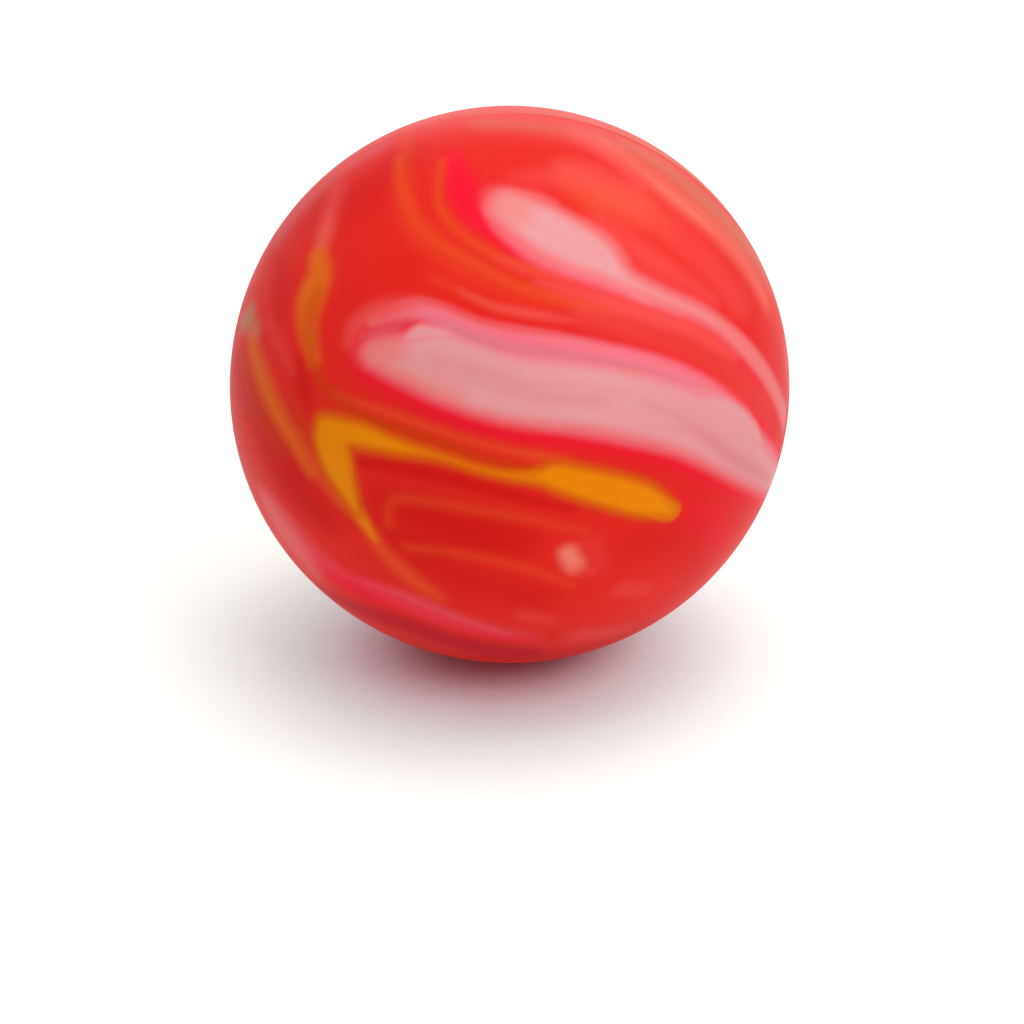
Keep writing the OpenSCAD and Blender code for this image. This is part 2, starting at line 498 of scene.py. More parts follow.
class MarblingField:
    """Where each dye lies on one half of the ball.

    Attributes:
        REACH: How far from a strip's walls its dyes are measured, in mm.
        WALL_SLOPE: Greatest cosine between a radial wall's normal and the radius.
    """

    REACH = 6.0
    WALL_SLOPE = 0.5

    def __init__(
        self,
        ball: Ball,
        side: Side,
        strips: tuple[Strip, ...],
        wisps: tuple[Wisp, ...],
        cutters: dict[str, Piece],
    ) -> None:
        """Keep the strips' walls ready for measuring.

        Args:
            ball: The ball's sizes.
            side: The half of the ball.
            strips: Strips inlaid in this half.
            wisps: Faint runs of dye on this half.
            cutters: For each strip's node, the object with its radial walls.
        """
        self.ball = ball
        self.side = side
        self.strips = strips
        self.wisps = wisps
        self.walls = {s.node: self._walls(cutters[s.node]) for s in strips}

    def _walls(self, cutter: Piece) -> tuple[BVHTree, np.ndarray]:
        """Collect a strip's radial walls.

        Args:
            cutter: The strip's merged solid.

        Returns:
            The walls for measuring, and the box of the solid's points.
        """
        points = points_of(cutter)
        faces = []
        for face in cutter.data.polygons:
            ray = (face.center - self.ball.centre).normalized()
            if abs(face.normal.dot(ray)) < self.WALL_SLOPE:
                faces.append(tuple(face.vertices))
        tree = BVHTree.FromPolygons([Vector(p) for p in points], faces)
        return tree, np.array((points.min(0), points.max(0)))

    def _wall_offsets(self, node: str, skin: np.ndarray) -> np.ndarray:
        """Measure points from a strip's walls.

        Args:
            node: The strip's node.
            skin: Points on the ball's skin.

        Returns:
            Offset of each point from the nearest wall, or infinity out of reach.
        """
        tree, box = self.walls[node]
        reach = self.REACH * MM
        offsets = np.full_like(skin, np.inf)
        near = np.all((skin > box[0] - reach) & (skin < box[1] + reach), axis=1)
        for i in np.flatnonzero(near):
            found = tree.find_nearest(skin[i], reach)[0]
            if found is not None:
                offsets[i] = skin[i] - np.array(found)
        return offsets

    def measure(self, points: np.ndarray, owner: str) -> dict[str, np.ndarray]:
        """Work out the dyes at some points of one piece.

        Args:
            points: The piece's points, before the ball is settled on its stage.
            owner: Node that the piece stands for.

        Returns:
            A share from 0 to 1 for each dye, and the distance from the nearest strip's
            edge in mm, under the names of the mesh attributes.
        """
        skin = self.ball.to_skin(points)
        shares = {dye: np.zeros(len(points)) for dye in Dye}
        drift = np.full(len(points), self.REACH)
        for strip in self.strips:
            own = strip.node == owner
            offsets = self._wall_offsets(strip.node, skin) / MM
            gap = np.linalg.norm(offsets, axis=1)
            drift = np.minimum(drift, gap)
            signed = -np.minimum(gap, self.REACH) if own else gap
            share = smooth_step(strip.feather / 2, -strip.feather / 2, signed)
            shares[strip.dye] = np.maximum(shares[strip.dye], strip.strength * share)
            for bleed in strip.bleeds:
                share = bleed.strength * smooth_step(bleed.reach, 0.0, gap)
                if bleed.toward is not None:
                    outward = -offsets if own else offsets
                    share *= self._leaning(outward, gap, bleed.toward)
                shares[bleed.dye] = np.maximum(shares[bleed.dye], share)
        face = self.ball.to_face(points, self.side)
        for wisp in self.wisps:
            shares[wisp.dye] = np.maximum(shares[wisp.dye], self._wisp(wisp, face))
        return {dye.value: share for dye, share in shares.items()} | {"drift": drift}

    def _leaning(
        self, offsets: np.ndarray, gap: np.ndarray, toward: tuple[float, float]
    ) -> np.ndarray:
        """Weigh points by the side of a strip that they lie on.

        Args:
            offsets: Offset of each point from the nearest wall, pointing out of the strip.
            gap: Length of each offset.
            toward: Direction on the face (right, up).

        Returns:
            From 0 on the far side to 1 on the side that the dye runs to.
        """
        right = -self.side.toward * offsets[:, 0]
        along = right * toward[0] + offsets[:, 2] * toward[1]
        along = np.where(np.isfinite(gap), along, 0.0)
        return 0.5 + 0.5 * np.clip(along / np.maximum(gap, TINY), -1, 1)

    @staticmethod
    def _wisp(wisp: Wisp, face: np.ndarray) -> np.ndarray:
        """Work out a wisp's share at points of the face.

        Args:
            wisp: The run of dye.
            face: Degrees right and up, one pair to a row.

        Returns:
            The wisp's share of the colour at each point.
        """
        curve = smooth_line(wisp.line)
        reach = curve[:, 2].max() + wisp.feather
        low, high = curve[:, :2].min(0) - reach, curve[:, :2].max(0) + reach
        near = np.flatnonzero(np.all((face > low) & (face < high), axis=1))
        share = np.zeros(len(face))
        spot = face[near]
        for start, end in zip(curve, curve[1:]):
            run = end[:2] - start[:2]
            t = np.clip((spot - start[:2]) @ run / max(run @ run, TINY), 0, 1)
            gap = np.linalg.norm(spot - start[:2] - t[:, None] * run, axis=1)
            gap -= start[2] + t * (end[2] - start[2])
            half = wisp.feather / 2
            share[near] = np.maximum(share[near], smooth_step(half, -half, gap))
        return wisp.strength * share


@dataclass(frozen=True)
class Nodes:
    """A tree of shader nodes, with short ways to add to it.

    Attributes:
        tree: The tree.
    """

    tree: bpy.types.NodeTree

    def feed(self, node: bpy.types.Node, terms: Terms) -> None:
        """Give a node its inputs.

        Args:
            node: The node.
            terms: For each input, a number, a colour or another node's output.
        """
        for name, term in terms.items():
            if isinstance(term, Socket):
                self.tree.links.new(term, node.inputs[name])
            else:
                node.inputs[name].default_value = term

    def add(self, kind: str, out: str | int, terms: Terms, **options: object) -> Socket:
        """Add a node with its options and inputs.

        Args:
            kind: Blender's name of the node, after the word ShaderNode.
            out: The output that is wanted.
            terms: For each input, a number, a colour or another node's output.
            options: Options of the node.

        Returns:
            The wanted output.
        """
        node = self.tree.nodes.new(f"ShaderNode{kind}")
        for name, value in options.items():
            setattr(node, name, value)
        self.feed(node, terms)
        return node.outputs[out]

    def math(self, operation: str, *terms: object) -> Socket:
        """Add a sum on numbers and other nodes' outputs."""
        return self.add("Math", 0, dict(enumerate(terms)), operation=operation)

    def mix(self, share: Socket, under: object, over: object) -> Socket:
        """Lay a share of one colour over another."""
        terms = {"Factor": share, "A": under, "B": over}
        return self.add("Mix", "Result", terms, data_type="RGBA")

    def noise(self, place: Socket, scale: float, detail: float) -> Socket:
        """Add a noise texture, with values around 0.5."""
        terms = {"Vector": place, "Scale": scale, "Detail": detail}
        return self.add("TexNoise", "Fac", terms)

    def place(self) -> Socket:
        """Read the piece's own coordinates."""
        return self.add("TexCoord", "Object", {})

    def attribute(self, name: str) -> Socket:
        """Read the piece's own mesh attribute of that name."""
        return self.add("Attribute", "Fac", {}, attribute_name=name)


def new_material(name: str) -> tuple[bpy.types.Material, Nodes]:
    """Make a material with a shader in it.

    Args:
        name: Its name.

    Returns:
        The material and its nodes.
    """
    material = bpy.data.materials.new(name)
    material.use_nodes = True
    return material, Nodes(material.node_tree)


@dataclass(frozen=True)
class MarblingGroup:
    """The node group that lays the dyes over the scarlet rubber.

    Attributes:
        clouds: Scale and detail of the broad clouds in the red.
        grain: Scale and detail of the skin's fine grain.
        streaks: Scale and detail of the streaks beside the strips.
        streaks_across: How fast the streaks change across a strip's edge, to the mm.
        streaks_along: How fast they change along it, to the metre.
        streak_share: Share of the streaks in the red's shading. The rest is clouds.
        dye_range: Least strength of a dye, and what the streaks add to it.
        roughness_range: Least roughness, and what the clouds add to it.
        shade: Factors on red, green and blue where the red is darkest.
        light: Factors on red, green and blue where it is lightest.
    """

    clouds: tuple[float, float] = (70.0, 2.0)
    grain: tuple[float, float] = (2600.0, 3.0)
    streaks: tuple[float, float] = (1.0, 2.0)
    streaks_across: float = 0.7
    streaks_along: float = 75.0
    streak_share: float = 0.35
    dye_range: tuple[float, float] = (0.85, 0.3)
    roughness_range: tuple[float, float] = (0.36, 0.12)
    shade: Colour = (0.90, 0.72, 0.80)
    light: Colour = (1.10, 1.28, 1.20)

    def build(self) -> bpy.types.NodeTree:
        """Lay the dyes, the flow lines in them and the skin's fine grain.

        Returns:
            The finished group.
        """
        tree = bpy.data.node_groups.new("marbling", "ShaderNodeTree")
        nodes = Nodes(tree)
        place = nodes.place()
        flow = self._flow_lines(nodes, place)
        cloud = nodes.noise(place, *self.clouds)
        rest = nodes.math("MULTIPLY", cloud, 1 - self.streak_share)
        weight = nodes.math("MULTIPLY_ADD", flow, self.streak_share, rest)
        colour = nodes.mix(weight, tinted(SCARLET, self.shade), tinted(SCARLET, self.light))
        least, added = self.dye_range
        strength = nodes.math("MULTIPLY_ADD", flow, added, least)
        for dye in Dye:
            share = nodes.math("MULTIPLY", nodes.attribute(dye.value), strength)
            colour = nodes.mix(share, colour, linear(DYE_COLOURS[dye]))
        least, added = self.roughness_range
        rough = nodes.math("MULTIPLY_ADD", cloud, added, least)
        grain = nodes.noise(place, *self.grain)

        for name, kind in (("Color", "Color"), ("Roughness", "Float"), ("Height", "Float")):
            tree.interface.new_socket(name, in_out="OUTPUT", socket_type=f"NodeSocket{kind}")
        out = tree.nodes.new("NodeGroupOutput")
        nodes.feed(out, {"Color": colour, "Roughness": rough, "Height": grain})
        return tree

    def _flow_lines(self, nodes: Nodes, place: Socket) -> Socket:
        """Make streaks that run along the strips' edges.

        Args:
            nodes: The group's nodes.
            place: Object coordinates.

        Returns:
            A value around 0.5 that changes quickly across the strips and slowly along.
        """
        axes = nodes.tree.nodes.new("ShaderNodeSeparateXYZ")
        nodes.feed(axes, {0: place})
        across = nodes.math("MULTIPLY", nodes.attribute("drift"), self.streaks_across)
        along = (nodes.math("MULTIPLY", axes.outputs[axis], self.streaks_along) for axis in "XZ")
        lane = nodes.add("CombineXYZ", 0, dict(enumerate((across, *along))))
        return nodes.noise(lane, *self.streaks)


@dataclass(frozen=True)
class SatinFinish:
    """What the rubber and the cement share: a satin skin with a fine relief.

    Attributes:
        relief: Strength of the relief.
        relief_depth: Its depth.
        gloss: Strength of the reflections.
        sheen: Share of the dusty bloom at grazing angles.
    """

    relief: float = 0.02
    relief_depth: float = 0.1 * MM
    gloss: float = 0.045
    sheen: float = 0.01

    def _finish(self, nodes: Nodes, colour: Socket, roughness: object, height: Socket) -> None:
        """Give a material's shader its look.

        Args:
            nodes: The material's nodes.
            colour: Its colour.
            roughness: Its roughness, or a socket with it.
            height: Height of its relief.
        """
        bump = {"Strength": self.relief, "Distance": self.relief_depth, "Height": height}
        look = {
            "Base Color": colour,
            "Roughness": roughness,
            "Normal": nodes.add("Bump", "Normal", bump),
            "Specular IOR Level": self.gloss,
            "Sheen Weight": self.sheen,
        }
        nodes.feed(nodes.tree.nodes["Principled BSDF"], look)


@dataclass(frozen=True)
class MarbledRubber(SatinFinish):
    """Satin rubber with dyes that run into each other.

    Attributes:
        slot: The record's material slot.
    """

    slot: str = SHELL_SLOT

    def build(self, marbling: bpy.types.NodeTree) -> bpy.types.Material:
        """Make the material of one slot.

        Args:
            marbling: The dyes' node group.

        Returns:
            The material.
        """
        material, nodes = new_material(f"marbled_{self.slot}")
        dyes = nodes.tree.nodes.new("ShaderNodeGroup")
        dyes.node_tree = marbling
        self._finish(nodes, *(dyes.outputs[name] for name in ("Color", "Roughness", "Height")))
        return material


@dataclass(frozen=True)
class Cement(SatinFinish):
    """Dried rubber cement, a dull red film with small pits.

    Attributes:
        relief: Strength of the pits.
        colour: Its colour on a screen.
        shade: Factors on red, green and blue where it is darkest.
        light: Factors on red, green and blue where it is lightest.
        roughness: Its roughness.
        pits: Scale and detail of the pits.
    """

    relief: float = 0.2
    colour: Colour = (0.96, 0.27, 0.24)
    shade: Colour = (0.8, 0.7, 0.7)
    light: Colour = (1.2, 1.3, 1.3)
    roughness: float = 0.6
    pits: tuple[float, float] = (900.0, 3.0)

    def build(self) -> bpy.types.Material:
        """Make the material.

        Returns:
            The material.
        """
        material, nodes = new_material("dried_cement")
        pits = nodes.noise(nodes.place(), *self.pits)
        colour = nodes.mix(pits, tinted(self.colour, self.shade), tinted(self.colour, self.light))
        self._finish(nodes, colour, self.roughness, pits)
        return material


@dataclass
class HalfBall:
    """One half of the ball: its shell and the strips inlaid in its skin.

    Attributes:
        ball: The ball's sizes.
        side: Which half it is.
        strips: The strips inlaid in it.
        wisps: Faint runs of dye on it.
        fineness: How often the blank's faces are divided.
        cavity_fineness: How often the cavity's faces are divided.
        clearance: Room round each strip in its pocket.
        skin_depth: How near the skin a strip's outer points lie.
        overshoot: Factor that carries those points out through the skin.
        pieces: The finished pieces by node, filled by build.
    """

    ball: Ball
    side: Side
    strips: tuple[Strip, ...]
    wisps: tuple[Wisp, ...]
    fineness: int = 8
    cavity_fineness: int = 6
    clearance: float = 0.002 * MM
    skin_depth: float = 0.1 * MM
    overshoot: float = 1.04
    pieces: dict[str, Piece] = field(default_factory=dict)

    @property
    def shell_node(self) -> str:
        """Name of the half shell's CAD node."""
        return f"{self.side.value}_half_shell"

    def build(self) -> None:
        """Model the shell and the strips, and keep the dyes in their meshes."""
        cutters = {s.node: self._cutter(s.node) for s in self.strips}
        marbling = MarblingField(self.ball, self.side, self.strips, self.wisps, cutters)
        blank = self._blank()
        for strip in self.strips:
            piece = copy_of(blank, f"{strip.node}_inlay")
            cut(piece, cutters[strip.node], Keep.INSIDE)
            self.pieces[strip.node] = piece
        self._hollow(blank, cutters)
        blank.name = f"{self.shell_node}_skin"
        self.pieces[self.shell_node] = blank
        for cutter in cutters.values():
            discard(cutter)
        for node, piece in self.pieces.items():
            self._keep_dyes(piece, marbling.measure(points_of(piece), node))
            settle(piece, self.ball)
            round_skin(piece, self.ball)

    def _cutter(self, node: str) -> Piece:
        """Make a tool with a strip's walls that reaches out through the skin.

        Args:
            node: The strip's CAD node.

        Returns:
            The tool.
        """
        tool = copy_of(frame["nodes"][node], f"{node}_tool")
        with editing(tool):
            bpy.ops.mesh.remove_doubles(threshold=MERGE_GAP)
        reach = np.linalg.norm(points_of(tool) - np.array(self.ball.centre), axis=1)
        with editing(tool):
            select_points(tool, reach > self.ball.radius - self.skin_depth)
            bpy.ops.transform.resize(
                value=(self.overshoot,) * 3, center_override=self.ball.centre
            )
        return tool

    def _blank(self) -> Piece:
        """Make a fine solid half ball with a flat rim.

        Returns:
            The half ball.
        """
        blank = add_ball(self.ball.radius, self.ball.centre, self.fineness)
        rim = Vector((0, self.side.toward * self.ball.film / 2, self.ball.centre.z))
        with editing(blank):
            bpy.ops.mesh.bisect(
                plane_co=rim,
                plane_no=(0, -self.side.toward, 0),
                use_fill=True,
                clear_outer=True,
            )
        return blank

    def _hollow(self, shell: Piece, cutters: dict[str, Piece]) -> None:
        """Cut the cavity and the strips' pockets out of the half ball.

        Args:
            shell: The solid half ball.
            cutters: The strips' tools by node.
        """
        inner = self.ball.radius - self.ball.wall
        cavity = add_ball(inner, self.ball.centre, self.cavity_fineness)
        cut(shell, cavity, Keep.OUTSIDE)
        discard(cavity)
        for tool in cutters.values():
            with editing(tool):
                bpy.ops.transform.shrink_fatten(value=self.clearance)
            cut(shell, tool, Keep.OUTSIDE)

    @staticmethod
    def _keep_dyes(piece: Piece, shares: dict[str, np.ndarray]) -> None:
        """Store the dyes' shares in a piece's mesh.

        Args:
            piece: The piece.
            shares: Values at its points by attribute name.
        """
        for name, share in shares.items():
            attribute = piece.data.attributes.new(name, "FLOAT", "POINT")
            attribute.data.foreach_set("value", share.astype(np.float32))

    def dress(self, materials: dict[str, bpy.types.Material]) -> None:
        """Give the pieces their rubber and tie them to the frame.

        Args:
            materials: Materials by slot.
        """
        slots = {s.node: s.slot for s in self.strips} | {self.shell_node: SHELL_SLOT}
        for node, piece in self.pieces.items():
            piece.data.materials.clear()
            piece.data.materials.append(materials[slots[node]])
            tie(piece, node, self.side)


def settle(piece: Piece, ball: Ball) -> None:
    """Flatten a piece's lower half, so that the ball rests on the floor, and shade it smooth.

    Args:
        piece: The piece, still on the true sphere.
        ball: The ball's sizes.
    """
    low = points_of(piece)[:, 2] < ball.centre.z
    with editing(piece):
        select_points(piece, low)
        bpy.ops.transform.resize(value=(1, 1, ball.squat), center_override=ball.centre)
    if points_of(piece)[:, 2].min() < 0:
        with editing(piece):
            bpy.ops.mesh.bisect(
                plane_co=(0, 0, 0),
                plane_no=(0, 0, 1),
                threshold=MERGE_GAP,
                use_fill=True,
                clear_inner=True,
            )
    activate(piece)
    bpy.ops.object.shade_smooth_by_angle(angle=SMOOTH_ANGLE)


def round_skin(piece: Piece, ball: Ball, depth: float = 0.003 * MM) -> None:
    """Shade a piece's skin as the true round ball, also beside its cut edges.

    Args:
        piece: The settled piece, shaded smooth.
        ball: The ball's sizes.
        depth: How far below the true sphere the middle of a face of the skin may lie.
    """
    mesh = piece.data

    def rounded(points: np.ndarray) -> np.ndarray:
        """Undo the settling, from the ball's centre."""
        ray = points - np.array(ball.centre)
        ray[:, 2] /= np.where(ray[:, 2] < 0, ball.squat, 1.0)
        return ray

    centres = np.empty(len(mesh.polygons) * 3)
    mesh.polygons.foreach_get("center", centres)
    reach = np.linalg.norm(rounded(centres.reshape(-1, 3)), axis=1)
    corners = np.empty(len(mesh.polygons), int)
    mesh.polygons.foreach_get("loop_total", corners)
    on_skin = np.repeat(reach > ball.radius - depth, corners)
    points = np.empty(len(mesh.loops), int)
    mesh.loops.foreach_get("vertex_index", points)
    normals = rounded(points_of(piece))
    normals[:, 2] /= np.where(normals[:, 2] < 0, ball.squat, 1.0)
    normals /= np.linalg.norm(normals, axis=1)[:, None]
    mesh.normals_split_custom_set(np.where(on_skin[:, None], normals[points], 0.0))


def tie(piece: Piece, node: str, side: Side) -> None:
    """Tie a finished piece to its half's body, so that it moves with it.

    Args:
        piece: The finished piece.
        node: CAD node that it stands for.
        side: Half of the ball that it belongs to.
    """
    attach(piece, side.body)
    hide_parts(node)
    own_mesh(piece)
    log.info("%s: %d faces", piece.name, len(piece.data.polygons))


@dataclass
class SeamCement:
    """The cement between the two rims, with its bead inside the cavity.

    Attributes:
        ball: The ball's sizes.
        bead_width: Width of the bead where it leaves the wall.
        bead_top: Share of that width at the bead's inner edge.
        bead_gap: Room between the bead and the inside of the wall.
        corners: Corners round the ring.
        facing: Least cosine between an end's normal and the ring's axis.
    """

    ball: Ball
    bead_width: float = 2.4 * MM
    bead_top: float = 0.4
    bead_gap: float = 0.05 * MM
    corners: int = 320
    facing: float = 0.9

    def build(self) -> Piece:
        """Model the ring from a thin disc, and draw the bead out of its inner wall.

        Returns:
            The ring.
        """
        ball = self.ball
        cavity = ball.radius - ball.wall
        deselect_all()
        bpy.ops.mesh.primitive_cylinder_add(
            vertices=self.corners,
            radius=ball.radius,
            depth=ball.film,
            location=ball.centre,
            rotation=(math.radians(90), 0, 0),
        )
        ring = bpy.context.object
        ring.name = "seam_cement_ring"
        bpy.ops.object.transform_apply(location=True, rotation=True, scale=True)
        with editing(ring):
            bpy.ops.mesh.select_mode(type="FACE")
            select_faces(ring, lambda face: abs(face.normal.y) > self.facing)
            bpy.ops.mesh.inset(thickness=ball.wall)
            bpy.ops.mesh.bridge_edge_loops()
            self._draw_bead(ring, cavity)
            bpy.ops.mesh.select_all(action="SELECT")
            bpy.ops.mesh.normals_make_consistent(inside=False)
        return ring

    def _draw_bead(self, ring: Piece, cavity: float) -> None:
        """Extrude the ring's inner wall into the cavity in three steps.

        Args:
            ring: The ring in edit mode.
            cavity: Radius of the ring's inner wall.
        """
        select_faces(
            ring, lambda face: (self.ball.centre - face.calc_center_median()).length < cavity
        )
        outer = math.sqrt(cavity**2 - (self.bead_width / 2) ** 2) - self.bead_gap
        inner = cavity - self.ball.bead
        reach, width = cavity, self.ball.film
        for next_reach, next_width in (
            (outer, self.ball.film),
            (outer, self.bead_width),
            (inner, self.bead_top * self.bead_width),
        ):
            shrink = next_reach / reach
            bpy.ops.mesh.extrude_region_move()
            bpy.ops.transform.resize(
                value=(shrink, next_width / width, shrink),
                center_override=self.ball.centre,
            )
            reach, width = next_reach, next_width

    def dress(self, ring: Piece, cement: bpy.types.Material) -> None:
        """Give the ring its cement and tie it to the frame.

        Args:
            ring: The ring.
            cement: Its material.
        """
        ring.data.materials.append(cement)
        settle(ring, self.ball)
        tie(ring, "seam_cement", Side.REAR)


@dataclass(frozen=True)
class Lamp:
    """A large soft lamp that faces the ball.

    Attributes:
        name: Name of the lamp.
        place: Where it hangs.
        size: Its side.
        power: Its power.
    """

    name: str
    place: tuple[float, float, float]
    size: float
    power: float

    def build(self) -> None:
        """Hang the lamp."""
        deselect_all()
        bpy.ops.object.light_add(type="AREA", location=self.place)
        lamp = bpy.context.object
        lamp.name = self.name
        lamp.data.shape = "SQUARE"
        lamp.data.size = self.size
        lamp.data.energy = self.power
        lamp.rotation_euler = (-Vector(self.place)).to_track_quat("-Z", "Y").to_euler()


@dataclass(frozen=True)
class Stage:
    """The pale floor and the soft light round the ball.

    Attributes:
        floor_size: Side of the floor.
        floor_colour: Its colour on a screen.
        floor_roughness: Its roughness.
        floor_white: Share of the floor's picture that is plain white where it is open.
        white_level: Strength of that white.
        contact_reach: How far round the ball that white is darkened.
        contact_lean: Direction that the darkening looks in, away from the shaded side.
        contact_samples: Number of rays that find out how open the floor is.
        painted_shadow_tones: Painted shadow tones of that white by how open the floor is, reddish
            near the ball as a painted bounce of its red light.
        sky: Strength of the light from all round.
        sky_tone: Tone of the plain background.
        lamps: The soft lamps.
    """

    floor_size: float = 6.0
    floor_colour: Colour = (0.95, 0.945, 0.935)
    floor_roughness: float = 0.9
    floor_white: float = 0.5
    white_level: float = 1.34
    contact_reach: float = 0.08
    contact_lean: tuple[float, float, float] = (0.15, 0.28, 0.95)
    contact_samples: int = 16
    painted_shadow_tones: tuple[tuple[float, Colour], ...] = (
        (0.05, (0.10, 0.0, 0.01)),
        (0.10, (0.16, 0.01, 0.025)),
        (0.23, (0.395, 0.25, 0.30)),
        (0.36, (0.54, 0.52, 0.53)),
        (0.46, (0.64, 0.68, 0.69)),
        (0.60, (0.82, 0.88, 0.88)),
        (0.75, (0.98, 1.0, 0.97)),
    )
    sky: float = 0.375
    sky_tone: Colour = (1.0, 0.995, 0.98)
    lamps: tuple[Lamp, ...] = (
        Lamp("overhead_lamp", (0.3, 0.1, 2.0), 1.1, 18.8),
        Lamp("key_lamp", (0.95, -1.05, 1.25), 0.9, 9.2),
        Lamp("rim_lamp", (0.1, 1.25, 0.5), 0.8, 2.0),
        Lamp("fill_lamp", (-0.75, -0.95, 0.3), 0.8, 0.6),
    )

    def build(self) -> None:
        """Lay the floor and hang the light."""
        deselect_all()
        bpy.ops.mesh.primitive_plane_add(size=self.floor_size)
        floor = bpy.context.object
        floor.name = "floor"
        floor.data.materials.append(self._floor_material())
        self._sky()
        for lamp in self.lamps:
            lamp.build()

    def _floor_material(self) -> bpy.types.Material:
        """Make the matt floor, which turns white in the picture away from the ball.

        Returns:
            The material.
        """
        material, nodes = new_material("pale_floor")
        matt = nodes.tree.nodes["Principled BSDF"]
        look = {
            "Base Color": linear(self.floor_colour),
            "Roughness": self.floor_roughness,
            "Specular IOR Level": 0.0,
        }
        nodes.feed(matt, look)
        tone = self._painted_shadow(nodes)
        # The floor's white for the picture, with the ball's painted shadow in it.
        white = nodes.add("Emission", 0, {"Color": tone, "Strength": self.white_level})
        share = nodes.math("MULTIPLY", self._in_view(nodes), self.floor_white)
        self._pick(nodes, share, matt.outputs[0], white, "Material Output")
        return material

    def _painted_shadow(self, nodes: Nodes) -> Socket:
        """Paint the ball's soft shadow into the floor's white where the ball stands close over it,
        reddish near the contact as a painted bounce of the ball's red light.

        Args:
            nodes: The floor's nodes.

        Returns:
            The tone of the white.
        """
        lean = nodes.add("CombineXYZ", 0, dict(enumerate(self.contact_lean)))
        near = {"Distance": self.contact_reach, "Normal": lean}
        openness = nodes.add("AmbientOcclusion", "AO", near, samples=self.contact_samples)
        ramp = nodes.tree.nodes.new("ShaderNodeValToRGB")
        nodes.feed(ramp, {"Fac": openness})
        stops = ramp.color_ramp.elements
        ends = (self.painted_shadow_tones[0], self.painted_shadow_tones[-1])
        for stop, (place, tone) in zip(stops, ends):
            stop.position, stop.color = place, (*tone, 1.0)
        for place, tone in self.painted_shadow_tones[1:-1]:
            stops.new(place).color = (*tone, 1.0)
        return ramp.outputs["Color"]

    @staticmethod
    def _in_view(nodes: Nodes) -> Socket:
        """Tell rays that show the background from rays that only light the stage.

        Args:
            nodes: The nodes of the floor or of the sky.

        Returns:
            1 where the camera sees the place, also by reflection or through glass.
        """
        path = nodes.tree.nodes.new("ShaderNodeLightPath")
        seen = path.outputs["Is Camera Ray"]
        for ray in ("Is Glossy Ray", "Is Transmission Ray"):
            seen = nodes.math("MAXIMUM", seen, path.outputs[ray])
        return seen

    @staticmethod
    def _pick(nodes: Nodes, share: Socket, plain: Socket, seen: Socket, output: str) -> None:
        """Let one shader light the stage, and show a share of another in the picture."""
        picked = nodes.add("MixShader", 0, {"Fac": share, 1: plain, 2: seen})
        nodes.feed(nodes.tree.nodes[output], {"Surface": picked})

    def _sky(self) -> None:
        """Light the stage from all round, with a plain white background."""
        world = bpy.data.worlds.new("studio")
        bpy.context.scene.world = world
        world.use_nodes = True
        nodes = Nodes(world.node_tree)
        light = nodes.tree.nodes["Background"]
        nodes.feed(light, {"Color": (1.0, 1.0, 1.0, 1.0), "Strength": self.sky})
        white = nodes.add("Background", 0, {"Color": (*self.sky_tone, 1.0)})
        self._pick(nodes, self._in_view(nodes), light.outputs[0], white, "World Output")


@dataclass(frozen=True)
class ProductCamera:
    """The camera of the product view, placed by the ball's size in the picture.

    Attributes:
        lens: Focal length in mm.
        sensor: Width of the sensor in mm.
        picture: Width of the picture in pixels.
        elevation: Angle above the ball's middle in degrees.
        ball_middle: The ball's middle in the picture in pixels.
        ball_radius: The ball's radius in the picture in pixels.
        nearest: Distance from which the camera sees.
    """

    lens: float = 85.0
    sensor: float = 36.0
    picture: float = 1024.0
    elevation: float = 20.0
    ball_middle: tuple[float, float] = (509.5, 387.5)
    ball_radius: float = 279.5
    nearest: float = 0.01

    def build(self, ball: Ball) -> None:
        """Place the camera.

        Args:
            ball: The ball's sizes.
        """
        deselect_all()
        bpy.ops.object.camera_add()
        camera = bpy.context.object
        camera.data.lens = self.lens
        camera.data.sensor_width = self.sensor
        camera.data.clip_start = self.nearest
        focal = self.lens / self.sensor * self.picture
        distance = ball.radius / math.sin(math.atan(self.ball_radius / focal))
        tilt = math.radians(self.elevation)
        camera.location = ball.centre + distance * Vector(
            (0, -math.cos(tilt), math.sin(tilt))
        )
        middle = self.picture / 2
        down = math.atan((middle - self.ball_middle[1]) / focal)
        aside = math.atan((middle - self.ball_middle[0]) / focal)
        camera.rotation_euler = (math.radians(90) - tilt - down, 0, -aside)
        bpy.context.scene.camera = camera


CRIMSON_HALO = Bleed(Dye.CRIMSON, 3.2, 1.0)

FRONT_STRIPS = (
    Strip("main_pale_ribbon", "pale_rubber", Dye.PALE, 2.6, 0.95,
          (CRIMSON_HALO, Bleed(Dye.ROSE, 1.2, 0.5, (0.4, 0.9)))),
    Strip("rose_fringe", "rose_rubber", Dye.ROSE, 1.2, 0.9),
    Strip("upper_pale_ribbon", "pale_rubber", Dye.PALE, 2.6, 0.97,
          (Bleed(Dye.CRIMSON, 3.4, 0.95, (-0.7, -0.7)),)),
    Strip("amber_hook", "amber_rubber", Dye.AMBER, 1.5, 1.0, (Bleed(Dye.RUST, 1.1, 0.4),)),
    Strip("ochre_streak", "ochre_rubber", Dye.OCHRE, 2.2, 0.85),
    Strip("left_amber_streak", "ochre_rubber", Dye.OCHRE, 2.4, 0.75),
    Strip("lower_pink_band", "rose_rubber", Dye.ROSE, 3.0, 0.16),
    Strip("salmon_band", "salmon_rubber", Dye.SALMON, 3.4, 0.42),
    Strip("tan_patch", "tan_rubber", Dye.TAN, 2.4),
    Strip("pale_spot", "salmon_rubber", Dye.SALMON, 1.7, 0.95),
    Strip("orange_veins", "orange_rubber", Dye.ORANGE, 1.5, 0.62),
    Strip("rust_veins", "rust_rubber", Dye.RUST, 1.2, 0.95),
    Strip("red_veins", "light_red_rubber", Dye.ORANGE, 1.4, 0.36),
)

